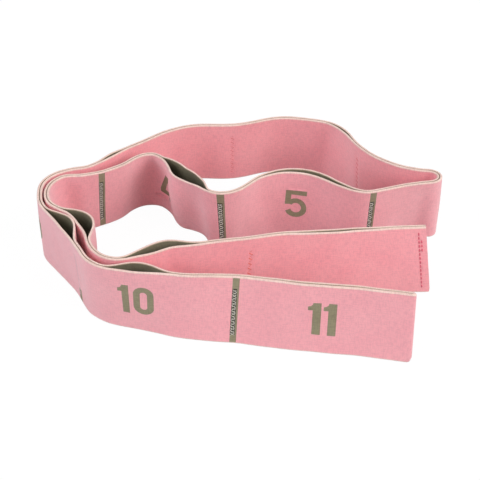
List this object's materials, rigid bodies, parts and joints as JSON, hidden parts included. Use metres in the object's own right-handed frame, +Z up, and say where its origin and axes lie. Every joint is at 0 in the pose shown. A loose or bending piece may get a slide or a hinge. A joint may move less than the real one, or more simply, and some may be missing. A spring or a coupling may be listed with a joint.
{
  "type": "stretching strap",
  "caption": "Flat elastic webbing strap, folded double and sewn across into a row of numbered hand loops, standing on its edge in a loose coil.",
  "frame": {"origin": "centre of the coil's bounding box, on the surface that the strap stands on", "axes": "+Z up across the webbing's width; +X to the right along the coil's long side; the folded end and the cut ends lie at the front, towards -Y"},
  "size_m": [0.2178, 0.1622, 0.04],
  "materials": {
    "webbing_pink": "matte woven elastic, numbered side",
    "webbing_salmon": "matte woven elastic, plain side",
    "webbing_olive": "woven numerals, bars and inner faces",
    "selvedge": "pale woven edge",
    "row_thread": "sewing thread in zigzag rows",
    "seam_thread": "sewing thread of the end seam"
  },
  "bodies": {
    "root": {"numbered_run_02": "webbing_pink", "plain_run_02": "webbing_salmon", "numbered_run_03": "webbing_pink", "plain_run_03": "webbing_salmon", "numbered_run_04": "webbing_pink", "plain_run_04": "webbing_salmon", "numbered_run_05": "webbing_pink", "plain_run_05": "webbing_salmon", "numbered_run_06": "webbing_pink", "plain_run_06": "webbing_salmon", "numbered_run_07": "webbing_pink", "plain_run_07": "webbing_salmon", "numbered_run_08": "webbing_pink", "plain_run_08": "webbing_salmon", "stitch_row_01_02": "row_thread", "stitch_row_02_03": "row_thread", "stitch_row_03_04": "row_thread", "stitch_row_04_05": "row_thread", "stitch_row_05_06": "row_thread", "stitch_row_06_07": "row_thread", "stitch_row_07_08": "row_thread", "stitch_row_08_09": "row_thread"},
    "loop_09": {"numbered_run_09": "webbing_pink", "plain_run_09": "webbing_salmon", "stitch_row_09_10": "row_thread"},
    "loop_10": {"numbered_run_10": "webbing_pink", "plain_run_10": "webbing_salmon", "stitch_row_10_11": "row_thread"},
    "loop_11": {"numbered_run_11": "webbing_pink", "plain_run_11": "webbing_salmon", "end_fold": "webbing_pink"},
    "loop_01": {"numbered_run_01": "webbing_pink", "plain_run_01": "webbing_salmon", "end_seam": "seam_thread"}
  },
  "joints": [
    {"name": "fold_row_8_9", "type": "hinge", "parent": "root", "child": "loop_09", "pos_m": [-0.08067, 0.02818, 0.02], "axis": [0, 0, 1], "range_deg": [-60, 0]},
    {"name": "fold_row_9_10", "type": "hinge", "parent": "loop_09", "child": "loop_10", "pos_m": [-0.08369, -0.04113, 0.02], "axis": [0, 0, 1], "range_deg": [-100, 0]},
    {"name": "fold_row_10_11", "type": "hinge", "parent": "loop_10", "child": "loop_11", "pos_m": [-0.00239, -0.06871, 0.02], "axis": [0, 0, 1], "range_deg": [-120, 12]},
    {"name": "fold_row_1_2", "type": "hinge", "parent": "root", "child": "loop_01", "pos_m": [0.00539, -0.03528, 0.02], "axis": [0, 0, 1], "range_deg": [-10, 15]}
  ]
}
